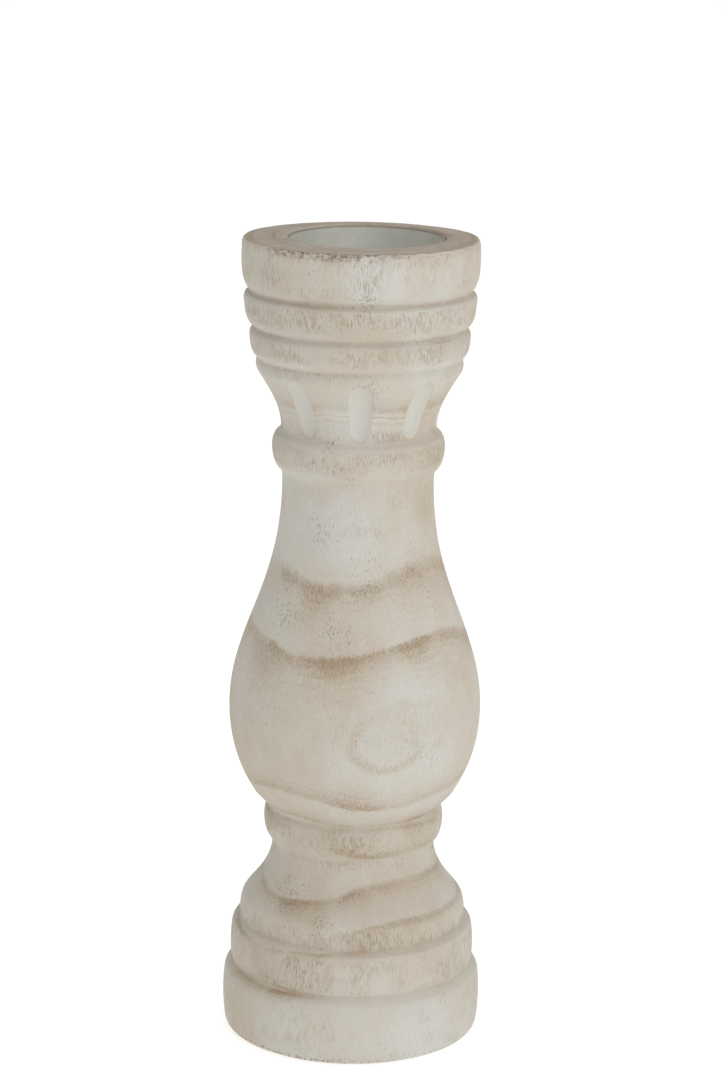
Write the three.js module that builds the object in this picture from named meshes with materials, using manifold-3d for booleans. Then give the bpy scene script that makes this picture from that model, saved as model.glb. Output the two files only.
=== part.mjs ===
// A turned wooden candlestick in three.js, millimetres, +Z up.
// The origin is the middle of the plane that it stands on.
//
// The body is turned in one piece from a round log, close to its pith, and its rings, beads,
// belly and flutes are all cut in that one piece. A pressed steel cup for a pillar candle sits
// in a round recess in the top and is held by one countersunk screw. Four felt pads carry the foot.

import * as THREE from 'three';
import { mergeVertices } from 'three/addons/utils/BufferGeometryUtils.js';
import Module from 'manifold-3d';

const wasm = await Module();
wasm.setup();

// ---- Driving dimensions --------------------------------------------------------------------

const HEIGHT = 400;
const FOOT_R = 64.7;
const RIM_R = 57.6;
const BELLY_R = 62.2;
const NECK_R = 37;
const CENTRE_MARK_R = 3.5;       // conical mark of the lathe's centre, in the underside

const FLUTES = 9;
const FLUTE_TURN = 0.8;          // degrees from the front to the first flute
const FLUTE_PATH = [             // the way that the middle of the round-nosed gouge goes
  { r: 43.2, z: 312.3 },
  { r: 45.9, z: 320.9 },
  { r: 50.8, z: 329 },
];
const GOUGE_R = 7.2;

const RECESS_R = 38.5;
const RECESS_DEPTH = 17;
const RECESS_AT = { x: 2.8, y: 3.7 };     // the recess was bored off the turning axis
const CUP_R = 37.7;
const CUP_WALL = 0.75;
const CUP_CORNER = 3;
const CUP_BELOW_RIM = 0.5;
const CUP_AT = { x: 2.35, y: 3.7 };       // and the cup stands to one side in it

const SCREW_HEAD_R = 4;
const SCREW_SHANK_R = 1.9;
const SCREW_SINK = 2.1;          // height of the countersunk head, and depth of the cup's dimple
const SCREW_LENGTH = 24;
const SCREW_POINT = 4;
const SCREW_SLOT = 1.1;

const PAD_R = 10;
const PAD_T = 1;
const PAD_CIRCLE_R = 44;
const PADS = 4;

const GAP = 0.3;                 // between pieces that touch
const ROUND_STEPS = 40;          // flats round every large turned piece
const SMALL_STEPS = 14;          // flats round the small ones
const CURVE_STEPS = 2;           // straight pieces in a short curve of the turned outline
const SWEEP_STEPS = 6;           // and in a long one

// ---- Materials -----------------------------------------------------------------------------

const whitewashedWood = new THREE.MeshStandardMaterial({ color: 0xcbc2b3, roughness: 0.85 });
const zincSteel = new THREE.MeshStandardMaterial({ color: 0x9a9c9a, roughness: 0.5, metalness: 0.8 });
const platedSteel = new THREE.MeshStandardMaterial({ color: 0xb0aca0, roughness: 0.35, metalness: 0.9 });
const felt = new THREE.MeshStandardMaterial({ color: 0x8c857a, roughness: 1 });

// ---- Helpers -------------------------------------------------------------------------------

// An outline in the half plane of radius and height, drawn from short and long curves.
class Outline {
  constructor(r, z) {
    this.points = [new THREE.Vector2(r, z)];
  }

  line(r, z) {
    this.points.push(new THREE.Vector2(r, z));
    return this;
  }

  // a short curve that leaves towards the control point and arrives from it
  round(controlR, controlZ, r, z, steps = CURVE_STEPS) {
    const curve = new THREE.QuadraticBezierCurve(
      this.points.at(-1), new THREE.Vector2(controlR, controlZ), new THREE.Vector2(r, z));
    this.points.push(...curve.getPoints(steps).slice(1));
    return this;
  }

  // a long curve with a control point for each end
  sweep(r1, z1, r2, z2, r, z, steps = SWEEP_STEPS) {
    const curve = new THREE.CubicBezierCurve(
      this.points.at(-1), new THREE.Vector2(r1, z1), new THREE.Vector2(r2, z2), new THREE.Vector2(r, z));
    this.points.push(...curve.getPoints(steps).slice(1));
    return this;
  }

  turned(steps) {
    return new THREE.LatheGeometry(this.points, steps).rotateX(Math.PI / 2);
  }
}

function solid(geometry) {
  const bare = geometry.clone();
  bare.deleteAttribute('normal');
  bare.deleteAttribute('uv');
  const merged = mergeVertices(bare, 1e-4);
  return new wasm.Manifold(new wasm.Mesh({
    numProp: 3,
    vertProperties: new Float32Array(merged.attributes.position.array),
    triVerts: new Uint32Array(merged.index.array),
  }));
}

function geometryOf(manifold) {
  const mesh = manifold.getMesh();
  const geometry = new THREE.BufferGeometry();
  geometry.setAttribute('position', new THREE.BufferAttribute(new Float32Array(mesh.vertProperties), 3));
  geometry.setIndex(new THREE.BufferAttribute(new Uint32Array(mesh.triVerts), 1));
  return geometry;
}

function piece(name, geometry, material) {
  const mesh = new THREE.Mesh(geometry, material);
  mesh.name = name;
  return mesh;
}

// ---- The turned body -----------------------------------------------------------------------

function bodyOutline() {
  return new Outline(0, PAD_T + CENTRE_MARK_R)
    .line(CENTRE_MARK_R, PAD_T)
    // foot: a slightly barrelled drum with a worn lower edge
    .line(61.8, PAD_T)
    .round(63.8, PAD_T + 0.6, 64.1, 7)
    .round(2 * FOOT_R - 64.1, 17.5, 64.1, 28)
    .round(63.8, 31, 62.2, 31.9)
    .line(59, 34.1)
    // second ring
    .round(60.8, 34.6, 60.9, 39)
    .round(61.2, 46, 60.4, 52.4)
    .round(60, 54.8, 58.9, 55.2)
    .line(55.6, 56.6)
    // third ring, and the cove that narrows to the waist
    .round(56.5, 57.2, 56.3, 61)
    .round(56.2, 66.4, 54.6, 69)
    .sweep(51.2, 74.2, 41.6, 82, 40.3, 95.8)
    .round(40.3, 97.6, 40.9, 98.6)
    // small torus under the belly
    .round(44.2, 101, 44.6, 108.4)
    .round(44.7, 114.6, 42.6, 116.3)
    // belly, from its undercut edge up to the neck
    .round(45.4, 119.6, 50.1, 124.6)
    .sweep(56, 134, BELLY_R, 147, BELLY_R, 167)
    .sweep(BELLY_R, 206, NECK_R, 226, NECK_R, 281, SWEEP_STEPS + 3)
    .line(NECK_R, 286.4)
    // bead at the top of the neck
    .round(41.3, 288.2, 42.1, 296.8)
    .round(42.4, 303.9, 38.9, 305.6)
    .line(37.7, 306.4)
    // fluted cove, flaring to a small lip
    .sweep(37.7, 317, 43.2, 325, 49.2, 335)
    .round(50.7, 337.8, 50.1, 340.4)
    .line(49, 342.2)
    // third bead of the head
    .round(52.4, 343.2, 53.2, 349.4)
    .line(53.5, 353.4)
    .round(53.4, 355.3, 52.4, 355.8)
    .line(50.6, 357.3)
    // second bead of the head
    .round(54.7, 358.4, 55.6, 364.6)
    .line(56.3, 371)
    .round(56.3, 373, 55.2, 373.4)
    .line(52.6, 374.4)
    // top band and rim
    .round(56, 376, 57.2, 383.4)
    .round(RIM_R + 0.2, 391, 57.3, 397.6)
    .round(57.1, HEIGHT, 55.4, HEIGHT)
    .line(0, HEIGHT);
}

// the round recess for the cup
function recess() {
  const floor = HEIGHT - RECESS_DEPTH;
  return solid(new Outline(0, floor)
    .line(RECESS_R - 1, floor)
    .line(RECESS_R, floor + 1)
    .line(RECESS_R, HEIGHT + 1)
    .line(0, HEIGHT + 1)
    .turned(ROUND_STEPS)
    .translate(RECESS_AT.x, RECESS_AT.y, 0));
}

// the hole for the screw and for the dimple of the cup, under the cup's middle
function screwHole() {
  const floor = HEIGHT - RECESS_DEPTH;
  const end = floor - SCREW_LENGTH - 2 * GAP;
  const dimple = floor - SCREW_SINK - 2 * GAP;
  return solid(new Outline(0, end)
    .line(SCREW_SHANK_R + GAP, end)
    .line(SCREW_SHANK_R + GAP, dimple)
    .line(SCREW_SHANK_R + CUP_WALL + 2 * GAP, dimple)
    .line(SCREW_HEAD_R + CUP_WALL + 2 * GAP, floor)
    .line(SCREW_HEAD_R + CUP_WALL + 2 * GAP, floor + 1)
    .line(0, floor + 1)
    .turned(SMALL_STEPS)
    .translate(CUP_AT.x, CUP_AT.y, 0));
}

// one cut of a round-nosed gouge, at the front: the space that a ball sweeps along its path
function gougeCut() {
  const balls = FLUTE_PATH.map(({ r, z }) => (
    wasm.Manifold.sphere(GOUGE_R, 2 * SMALL_STEPS).translate([0, -r, z])));
  const strokes = balls.slice(1).map((ball, i) => wasm.Manifold.hull([balls[i], ball]));
  return wasm.Manifold.union(strokes);
}

function bodyGeometry() {
  const cut = gougeCut();
  let body = solid(bodyOutline().turned(ROUND_STEPS)).subtract(recess()).subtract(screwHole());
  for (let i = 0; i < FLUTES; i += 1) {
    body = body.subtract(cut.rotate([0, 0, FLUTE_TURN + i * 360 / FLUTES]));
  }
  return geometryOf(body);
}

// ---- Cup, screw and pads -------------------------------------------------------------------

// All three are drawn with their own seating plane at z = 0.

// the cup's sheet: floor with a sunk middle, rounded corner and straight wall
function cupGeometry() {
  const wallTop = RECESS_DEPTH - GAP - CUP_BELOW_RIM;
  const inner = CUP_R - CUP_WALL;
  const outerCorner = CUP_R - CUP_CORNER;
  const innerCorner = inner - CUP_CORNER + CUP_WALL;
  return new Outline(SCREW_SHANK_R + GAP, -SCREW_SINK)
    .line(SCREW_SHANK_R + GAP + CUP_WALL, -SCREW_SINK)
    .line(SCREW_HEAD_R + CUP_WALL, 0)
    .line(outerCorner, 0)
    .round(CUP_R, 0, CUP_R, CUP_CORNER)
    .line(CUP_R, wallTop)
    .line(inner, wallTop)
    .line(inner, CUP_CORNER)
    .round(inner, CUP_WALL, innerCorner, CUP_WALL)
    .line(SCREW_HEAD_R + GAP, CUP_WALL)
    .line(SCREW_SHANK_R + GAP, CUP_WALL - SCREW_SINK)
    .line(SCREW_SHANK_R + GAP, -SCREW_SINK)
    .turned(ROUND_STEPS);
}

// countersunk wood screw, with its head's face at z = 0
function screwGeometry() {
  const screw = solid(new Outline(0, -SCREW_LENGTH)
    .line(SCREW_SHANK_R, SCREW_POINT - SCREW_LENGTH)
    .line(SCREW_SHANK_R, -SCREW_SINK)
    .line(SCREW_HEAD_R - GAP / 2, -GAP)
    .line(SCREW_HEAD_R - GAP / 2, 0)
    .line(0, 0)
    .turned(SMALL_STEPS));
  const slot = new THREE.BoxGeometry(SCREW_HEAD_R, SCREW_SLOT, SCREW_SINK);
  const cross = solid(slot).add(solid(slot.clone().rotateZ(Math.PI / 2)));
  return geometryOf(screw.subtract(cross));
}

function padGeometry() {
  return new THREE.CylinderGeometry(PAD_R, PAD_R, PAD_T, SMALL_STEPS)
    .rotateX(Math.PI / 2)
    .translate(0, 0, PAD_T / 2);
}

// ---- Assembly ------------------------------------------------------------------------------

const candlestick = new THREE.Group();

candlestick.add(piece('turned_body', bodyGeometry(), whitewashedWood));

const cupAssembly = new THREE.Group();
cupAssembly.position.set(CUP_AT.x, CUP_AT.y, HEIGHT - RECESS_DEPTH + GAP);
const cup = piece('candle_cup', cupGeometry(), zincSteel);
const screw = piece('cup_screw', screwGeometry(), platedSteel);
screw.position.z = CUP_WALL;
cupAssembly.add(cup, screw);
candlestick.add(cupAssembly);

for (let i = 0; i < PADS; i += 1) {
  const angle = (i + 0.5) * 2 * Math.PI / PADS;
  const pad = piece(`felt_pad_${i + 1}`, padGeometry(), felt);
  pad.position.set(PAD_CIRCLE_R * Math.cos(angle), PAD_CIRCLE_R * Math.sin(angle), 0);
  candlestick.add(pad);
}

export default candlestick;
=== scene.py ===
"""A whitewashed turned candlestick with its steel cup, screw and felt pads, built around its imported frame."""

import math

import bpy
from mathutils import Matrix, Vector


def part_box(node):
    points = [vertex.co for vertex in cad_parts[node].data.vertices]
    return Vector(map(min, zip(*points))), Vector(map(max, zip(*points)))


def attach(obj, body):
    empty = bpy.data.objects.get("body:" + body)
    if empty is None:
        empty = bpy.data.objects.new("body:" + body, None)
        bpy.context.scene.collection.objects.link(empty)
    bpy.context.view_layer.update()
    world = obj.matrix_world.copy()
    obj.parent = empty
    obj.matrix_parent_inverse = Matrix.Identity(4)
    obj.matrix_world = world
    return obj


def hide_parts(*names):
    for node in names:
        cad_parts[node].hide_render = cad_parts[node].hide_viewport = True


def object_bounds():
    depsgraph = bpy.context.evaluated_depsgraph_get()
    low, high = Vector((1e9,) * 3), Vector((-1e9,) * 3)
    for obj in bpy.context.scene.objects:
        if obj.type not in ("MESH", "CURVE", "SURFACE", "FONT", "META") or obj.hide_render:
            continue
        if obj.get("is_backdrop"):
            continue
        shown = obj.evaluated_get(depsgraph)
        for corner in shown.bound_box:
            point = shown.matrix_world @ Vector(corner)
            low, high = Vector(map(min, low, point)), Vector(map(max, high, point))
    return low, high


bl_info = {
    "name": "Whitewashed candlestick",
    "version": (1, 0, 0),
    "blender": (4, 5, 0),
    "location": "View3D > Sidebar > Candlestick",
    "description": "Turns a wooden candlestick and fits its cup, screw and felt pads",
    "category": "Object",
}

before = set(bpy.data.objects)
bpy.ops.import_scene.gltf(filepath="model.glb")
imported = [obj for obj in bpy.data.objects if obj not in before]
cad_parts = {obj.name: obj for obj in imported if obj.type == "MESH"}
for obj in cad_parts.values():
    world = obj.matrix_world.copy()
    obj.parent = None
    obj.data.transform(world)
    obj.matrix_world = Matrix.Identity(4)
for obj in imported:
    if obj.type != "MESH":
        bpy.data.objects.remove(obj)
CAD_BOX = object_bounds()

MM = 0.001
FULL_TURN = 2 * math.pi

BODY_LOW, BODY_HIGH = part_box("turned_body")
CUP_LOW, CUP_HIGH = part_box("candle_cup")
SCREW_LOW, SCREW_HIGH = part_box("cup_screw")
TOP = BODY_HIGH.z / MM  # the rim's height, in millimetres
RECESS_RADIUS, RECESS_DEPTH = 38.5, 17.0  # of the hole for the cup, in millimetres
RECESS_WALLS = TOP - 44.0  # above this height, what lies within the recess's radius is its wall or floor
PAD_NODES = sorted(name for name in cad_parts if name.startswith("felt_pad"))


def paint(code):
    """The linear colour of a hexadecimal one."""
    shares = [int(code[i : i + 2], 16) / 255 for i in (0, 2, 4)]
    return tuple(s / 12.92 if s <= 0.04045 else ((s + 0.055) / 1.055) ** 2.4 for s in shares)


# ---- Node trees -----------------------------------------------------------------------------


class Wire:
    """An output of a node. An expression on wires adds the Math or Vector Math nodes that it needs."""

    def __init__(self, nodes, socket):
        self.nodes = nodes
        self.socket = socket

    def also(self, name):
        """Another output of the same node."""
        return Wire(self.nodes, self.socket.node.outputs[name])

    def _math(self, operation, *values):
        vector = any(isinstance(v, Wire) and v.socket.type == "VECTOR" for v in values)
        kind = "ShaderNodeVectorMath" if vector else "ShaderNodeMath"
        if vector:
            values = [v if isinstance(v, (Wire, tuple)) else (v, v, v) for v in values]
        output = "Value" if operation == "LENGTH" else 0
        return self.nodes(kind, {"operation": operation}, dict(enumerate(values)), output)

    def __add__(self, other):
        return self._math("ADD", self, other)

    def __radd__(self, other):
        return self._math("ADD", other, self)

    def __sub__(self, other):
        return self._math("SUBTRACT", self, other)

    def __rsub__(self, other):
        return self._math("SUBTRACT", other, self)

    def __mul__(self, other):
        return self._math("MULTIPLY", self, other)

    def __truediv__(self, other):
        return self._math("DIVIDE", self, other)

    def __rtruediv__(self, other):
        return self._math("DIVIDE", other, self)

    def __neg__(self):
        return self._math("MULTIPLY", self, -1)

    def call(self, operation, *others):
        """Any other Math operation, with this wire as its first value."""
        return self._math(operation, self, *others)

    def step(self, low, high, to_low=0.0, to_high=1.0):
        """A soft step: to_low up to low, to_high from high on."""
        sockets = {"Value": self, "From Min": low, "From Max": high, "To Min": to_low, "To Max": to_high}
        return self.nodes("ShaderNodeMapRange", {"interpolation_type": "SMOOTHSTEP"}, sockets)

    def parts(self):
        """The three parts of a vector."""
        x = self.nodes("ShaderNodeSeparateXYZ", {}, {"Vector": self})
        return x, x.also("Y"), x.also("Z")


class Nodes:
    """A node tree. Calling it adds a node from its type, its settings and its sockets."""

    def __init__(self, tree):
        self.tree = tree

    def __call__(self, kind, settings=None, sockets=None, output=0):
        node = self.tree.nodes.new(kind)
        for name, value in (settings or {}).items():
            if name == "stops":
                self._set_stops(node.color_ramp, value)
            else:
                setattr(node, name, value)
        for key, value in (sockets or {}).items():
            if isinstance(value, Wire):
                self.tree.links.new(value.socket, node.inputs[key])
            else:
                node.inputs[key].default_value = value
        return None if output is None else Wire(self, node.outputs[output])

    @staticmethod
    def _set_stops(ramp, stops):
        while len(ramp.elements) < len(stops):
            ramp.elements.new(1.0)
        for element, (place, colour) in zip(ramp.elements, stops):
            element.position = place
            element.color = (*colour, 1.0)

    @property
    def shapes(self):
        """Whether this is a tree that makes a shape, and not a material."""
        return self.tree.type == "GEOMETRY"

    def place(self):
        """The place on the piece, in millimetres."""
        if self.shapes:
            return self("GeometryNodeInputPosition") * (1 / MM)
        return self("ShaderNodeTexCoord", output="Object") * (1 / MM)

    def mark(self, name):
        """A number that was stored on the piece's points."""
        if self.shapes:
            return self("GeometryNodeInputNamedAttribute", {"data_type": "FLOAT"}, {"Name": name})
        return self("ShaderNodeAttribute", {"attribute_name": name}, output="Fac")

    def vector(self, x, y, z):
        return self("ShaderNodeCombineXYZ", {}, {"X": x, "Y": y, "Z": z})

    def moved(self, geometry, **sockets):
        """The geometry with its points moved by an Offset, or to a Position."""
        return self("GeometryNodeSetPosition", {}, {"Geometry": geometry, **sockets})

    def bump(self, height, distance, strength=1.0):
        """A normal that leans as if the surface had this height, from 0 to 1, times a distance in metres."""
        return self("ShaderNodeBump", {}, {"Strength": strength, "Distance": distance, "Height": height})

    def noise(self, vector, scale, detail=2.0, roughness=0.5, seed=0.0):
        """Noise from 0 to 1 with its middle near 0.5; a seed takes it to another place."""
        sockets = {"Vector": vector, "Scale": scale, "Detail": detail, "Roughness": roughness, "W": seed}
        return self("ShaderNodeTexNoise", {"noise_dimensions": "4D"}, sockets)

    def ramp(self, value, stops):
        """A number that follows these (place, number) stops, from 0 to 1."""
        greys = [(place, (number, number, number)) for place, number in stops]
        return self("ShaderNodeValToRGB", {"stops": greys}, {"Fac": value})

    def mix(self, factor, first, second):
        """A mix of two colours."""
        sockets = {0: factor}
        for key, colour in ((6, first), (7, second)):
            sockets[key] = colour if isinstance(colour, Wire) else (*colour, 1.0)
        return self("ShaderNodeMix", {"data_type": "RGBA"}, sockets, output=2)


def diagonal(*sides):
    """The length of the diagonal of these sides."""
    total = sides[0] * sides[0]
    for side in sides[1:]:
        total = total + side * side
    return total.call("SQRT")


def new_material(name):
    """A material with an empty tree: its nodes, and a function that ends it in a Principled surface."""
    material = bpy.data.materials.new(name)
    material.use_nodes = True
    material.node_tree.nodes.clear()
    nodes = Nodes(material.node_tree)

    def finish(**sockets):
        named = {key.replace("_", " "): value for key, value in sockets.items()}
        if not isinstance(named["Base Color"], Wire):
            named["Base Color"] = (*named["Base Color"], 1.0)
        surface = nodes("ShaderNodeBsdfPrincipled", {}, named)
        nodes("ShaderNodeOutputMaterial", {}, {"Surface": surface}, output=None)
        return material

    return nodes, finish


def new_geometry_tree(name, inputs):
    """A Geometry Nodes tree with a geometry input, the named inputs given, and a geometry output."""
    tree = bpy.data.node_groups.new(name, "GeometryNodeTree")
    tree.is_modifier = True
    tree.interface.new_socket("Geometry", in_out="INPUT", socket_type="NodeSocketGeometry")
    tree.interface.new_socket("Geometry", in_out="OUTPUT", socket_type="NodeSocketGeometry")
    for label, kind in inputs.items():
        tree.interface.new_socket(label, in_out="INPUT", socket_type="NodeSocket" + kind)
    nodes = Nodes(tree)
    start = nodes("NodeGroupInput")
    return nodes, start


def finish_geometry_tree(nodes, geometry, material):
    """Ends a tree in Realize Instances, smooth shading and Set Material."""
    realized = nodes("GeometryNodeRealizeInstances", {}, {"Geometry": geometry})
    smooth = nodes("GeometryNodeSetShadeSmooth", {}, {0: realized})
    painted = nodes("GeometryNodeSetMaterial", {}, {"Geometry": smooth, "Material": material})
    nodes("NodeGroupOutput", {}, {"Geometry": painted}, output=None)


def grown(name, mesh, nodes, values):
    """A plain mesh object: mesh after the Geometry Nodes tree has run on it with these input values."""
    seed = bpy.data.objects.new(name + "_outline", mesh)
    bpy.context.scene.collection.objects.link(seed)
    modifier = seed.modifiers.new("Shape", "NODES")
    modifier.node_group = nodes.tree
    for item in nodes.tree.interface.items_tree:
        if item.in_out == "INPUT" and item.name in values:
            modifier[item.identifier] = values[item.name]
    depsgraph = bpy.context.evaluated_depsgraph_get()
    result = bpy.data.meshes.new_from_object(
        seed.evaluated_get(depsgraph), preserve_all_data_layers=True, depsgraph=depsgraph
    )
    bpy.data.objects.remove(seed)
    result.name = name
    piece = bpy.data.objects.new(name, result)
    bpy.context.scene.collection.objects.link(piece)
    return piece


# ---- Outlines -------------------------------------------------------------------------------


class Outline:
    """Points of a turned outline, radius and height in millimetres, walked from curve to curve."""

    def __init__(self, radius, height, spacing):
        self.points = [(radius, height)]
        self.spacing = self.scale = spacing

    def every(self, share):
        """The points' spacing from here on, as a share of the outline's own."""
        self.spacing = self.scale * share
        return self

    def line(self, radius, height, spacing=None):
        """A straight run."""
        return self._walk([(radius, height)], spacing)

    def round(self, control_radius, control_height, radius, height, spacing=None):
        """A curve with one control point."""
        return self._walk([(control_radius, control_height), (radius, height)], spacing)

    def sweep(self, radius_1, height_1, radius_2, height_2, radius, height, spacing=None):
        """A curve with two control points."""
        return self._walk([(radius_1, height_1), (radius_2, height_2), (radius, height)], spacing)

    def _walk(self, controls, spacing):
        """Adds points along the Bezier curve from the last point through these control points."""
        hull = [self.points[-1], *controls]
        length = sum(math.dist(a, b) for a, b in zip(hull, hull[1:]))
        count = max(1, round(length / (spacing or self.spacing)))
        for i in range(1, count + 1):
            level = hull
            while len(level) > 1:
                level = [
                    tuple(p + (q - p) * i / count for p, q in zip(a, b)) for a, b in zip(level, level[1:])
                ]
            self.points.append(level[0])
        return self

    def hollows(self, reach):
        """For each point, how far it lies inside a chord of about reach each way: above 0 in a groove."""
        values = []
        for i, point in enumerate(self.points):
            low = high = i
            while low > 0 and math.dist(self.points[low], point) < reach:
                low -= 1
            while high < len(self.points) - 1 and math.dist(self.points[high], point) < reach:
                high += 1
            before, after = self.points[low], self.points[high]
            run = (after[0] - before[0], after[1] - before[1])
            length = math.hypot(*run) or 1.0
            middle = ((before[0] + after[0]) / 2 - point[0], (before[1] + after[1]) / 2 - point[1])
            values.append((middle[0] * run[1] - middle[1] * run[0]) / length / reach)
        return values

    def filled(self, passes):
        """Fills the sharp bottoms of the grooves, as thick wash does."""
        for _ in range(passes):
            hollows = self.hollows(2.0)
            before, after = self.points[:1] + self.points, self.points[1:] + self.points[-1:]
            self.points = [
                ((a[0] + 2 * p[0] + b[0]) / 4, (a[1] + 2 * p[1] + b[1]) / 4)
                if hollow > 0.12 and math.dist(a, b) < 4.0
                else p
                for a, p, b, hollow in zip(before, self.points, after, hollows)
            ]
        return self

    def mesh(self, name):
        """A chain of edges in the XZ plane, in metres, with each point's hollow as an attribute."""
        chain = bpy.data.meshes.new(name)
        vertices = [(radius * MM, 0.0, height * MM) for radius, height in self.points]
        chain.from_pydata(vertices, [(i, i + 1) for i in range(len(vertices) - 1)], [])
        chain.attributes.new("hollow", "FLOAT", "POINT").data.foreach_set("value", self.hollows(3.0))
        return chain


def body_outline(spacing):
    """The wooden body, from the mark in its underside round to the bottom of the screw's hole."""
    low, widest = BODY_LOW.z / MM, BODY_HIGH.x / MM
    belly, neck = 62.2, 37.0
    mark, coarse = 3.5, 4 * spacing
    dimple, pilot = 5.35, 2.2
    floor = TOP - RECESS_DEPTH
    return (
        Outline(0.0, low + mark, spacing)
        .line(mark, low)
        .line(61.8, low, 3 * coarse)
        .round(63.8, low + 0.6, 64.1, 7)
        .every(1.8)
        .round(2 * widest - 64.1, 17.5, 64.1, 28)
        .every(1.0)
        .round(63.8, 31, 62.2, 31.9)
        .line(59, 34.1)
        .round(60.8, 34.6, 60.9, 39)
        .round(61.2, 46, 60.4, 52.4, 1.7 * spacing)
        .round(60, 54.8, 58.9, 55.2)
        .line(55.6, 56.6)
        .round(56.5, 57.2, 56.3, 61)
        .round(56.2, 66.4, 54.6, 69)
        .sweep(51.2, 74.2, 41.6, 82, 40.3, 95.8, 1.5 * spacing)
        .round(40.3, 97.6, 40.9, 98.6)
        .round(44.2, 101, 44.6, 108.4)
        .round(44.7, 114.6, 42.6, 116.3)
        .round(45.4, 119.6, 50.1, 124.6)
        .every(2.1)
        .sweep(56, 134, belly, 147, belly, 167)
        .sweep(belly, 206, neck, 226, neck, 281)
        .line(neck, 286.4)
        .every(1.0)
        .round(41.3, 288.2, 42.1, 296.8)
        .round(42.4, 303.9, 38.9, 305.6)
        .line(37.7, 306.4)
        .sweep(37.7, 317, 43.2, 325, 49.2, 335)
        .round(50.7, 337.8, 50.1, 340.4)
        .line(49, 342.2)
        .round(52.4, 343.2, 53.2, 349.4)
        .line(53.5, 353.4)
        .round(53.4, 355.3, 52.4, 355.8)
        .line(50.6, 357.3)
        .round(54.7, 358.4, 55.6, 364.6)
        .line(56.3, 371)
        .round(56.3, 373, 55.2, 373.4)
        .line(52.6, 374.4)
        .round(56, 376, 57.2, 383.4, 1.4 * spacing)
        .every(0.6)
        .round(57.8, 391, 57.3, 397.6, 1.2 * spacing)
        .round(57.1, TOP, 55.4, TOP)
        .line(RECESS_RADIUS + 0.4, TOP, 1.7 * spacing)
        .round(RECESS_RADIUS, TOP, RECESS_RADIUS, TOP - 0.4)
        .line(RECESS_RADIUS, floor + 1, 3 * coarse)
        .line(RECESS_RADIUS - 1, floor)
        .line(dimple, floor, 3 * coarse)
        .line(pilot, floor - 2.7, coarse)
        .line(pilot, floor - 24.6, 3 * coarse)
        .line(0.0, floor - 24.6, coarse)
    )


def cup_outline():
    """The sheet of the cup, closed on itself, with a lip rolled at the top and a sunk middle."""
    foot = CUP_LOW.z / MM
    seat, rim, outer = foot + 2.1, CUP_HIGH.z / MM, (CUP_HIGH.x - CUP_LOW.x) / 2 / MM
    sheet, corner, hole, dimple = 0.75, 3.0, 2.2, 4.75
    inner = outer - sheet
    return (
        Outline(hole, foot, 0.6)
        .line(hole + sheet, foot)
        .line(dimple, seat)
        .line(outer - corner, seat, 2.0)
        .round(outer, seat, outer, seat + corner)
        .line(outer, rim - 0.4, 1.2)
        .round(outer, rim, outer - sheet / 2, rim, 0.12)
        .round(inner, rim, inner, rim - 0.4, 0.12)
        .line(inner, seat + corner, 1.2)
        .round(inner, seat + sheet, inner - corner + sheet, seat + sheet)
        .line(dimple - 0.45, seat + sheet, 2.0)
        .line(hole, foot + sheet)
        .line(hole, foot)
    )


def screw_outline():
    """The countersunk screw, from its point up to the middle of its head."""
    tip, face = SCREW_LOW.z / MM, SCREW_HIGH.z / MM
    head, core = (SCREW_HIGH.x - SCREW_LOW.x) / 2 / MM, 1.35
    return (
        Outline(0.0, tip, 0.22)
        .line(core, tip + 4)
        .line(core, face - 6)
        .line(1.9, face - 5)
        .line(1.9, face - 2.1)
        .line(head, face - 0.35)
        .round(head, face, head - 0.3, face)
        .line(0.0, face)
    )


# ---- Geometry Nodes -------------------------------------------------------------------------


def lathe(nodes, outline, steps):
    """Turns a chain of points about Z. Gives the merged mesh, with the outline's hollow on its points."""
    rows = nodes("GeometryNodeAttributeDomainSize", {"component": "MESH"}, {"Geometry": outline})
    grid = nodes("GeometryNodeMeshGrid", {}, {"Vertices X": steps + 1, "Vertices Y": rows})
    index = nodes("GeometryNodeInputIndex")
    row = index.call("FLOORED_MODULO", rows)
    angle = (index / rows).call("FLOOR") / steps * FULL_TURN

    def from_outline(kind, value):
        sockets = {"Geometry": outline, "Value": value, "Index": row}
        return nodes("GeometryNodeSampleIndex", {"data_type": kind}, sockets)

    radius, _, height = from_outline("FLOAT_VECTOR", nodes("GeometryNodeInputPosition")).parts()
    turned = nodes.vector(radius * angle.call("COSINE"), radius * angle.call("SINE"), height)
    marked = store(nodes, grid, "hollow", from_outline("FLOAT", nodes.mark("hollow")))
    moved = nodes.moved(marked, Position=turned)
    return nodes("GeometryNodeMergeByDistance", {}, {"Geometry": moved, "Distance": 1e-6})


def store(nodes, geometry, name, value):
    """Writes a number on every point, for the material to read."""
    sockets = {"Geometry": geometry, "Name": name, "Value": value}
    return nodes("GeometryNodeStoreNamedAttribute", {"data_type": "FLOAT"}, sockets)


TORN_SHARE = (  # height as a share of the whole, and how torn the upright grain is there
    (0.0, 0.35),
    (0.08, 0.35),
    (0.095, 0.7),
    (0.13, 0.7),
    (0.15, 0.9),
    (0.2, 0.4),
    (0.26, 0.75),
    (0.29, 0.6),
    (0.32, 0.0),
    (0.55, 0.0),
    (0.66, 0.3),
    (0.72, 0.2),
    (0.73, 0.9),
    (0.765, 0.8),
    (0.79, 0.3),
    (0.85, 0.5),
    (0.86, 1.0),
    (0.93, 0.9),
    (0.945, 0.65),
    (1.0, 0.65),
)


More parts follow.
